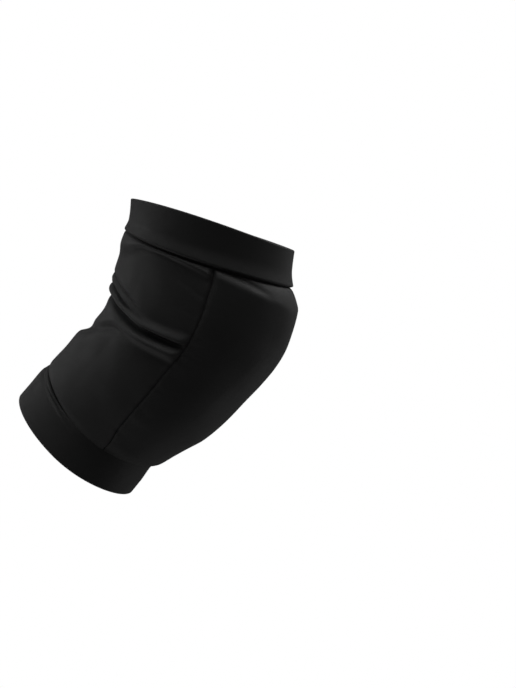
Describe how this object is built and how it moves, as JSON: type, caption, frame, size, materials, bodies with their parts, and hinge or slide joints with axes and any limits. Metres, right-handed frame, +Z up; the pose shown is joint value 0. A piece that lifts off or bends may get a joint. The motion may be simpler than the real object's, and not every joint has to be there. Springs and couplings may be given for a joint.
{
  "type": "dance knee pad",
  "caption": "Stretch-knit sleeve bent as on a flexed knee, with a foam-padded front panel, a thin gathered back panel and doubled bands at both openings.",
  "frame": {"origin": "centre of the knee, on the axis of the leg that fills the sleeve", "axes": "+Z up along the thigh, -Y towards the front of the knee (the padded side), X across the leg"},
  "size_m": [0.1414, 0.2051, 0.2351],
  "materials": {
    "panel_knit": "black smooth stretch knit with a slight sheen",
    "band_knit": "the same black stretch knit, folded double"
  },
  "bodies": {
    "root": {"top_band": "band_knit", "front_pad": "panel_knit", "back_panel": "panel_knit", "bottom_band": "band_knit"}
  },
  "joints": []
}
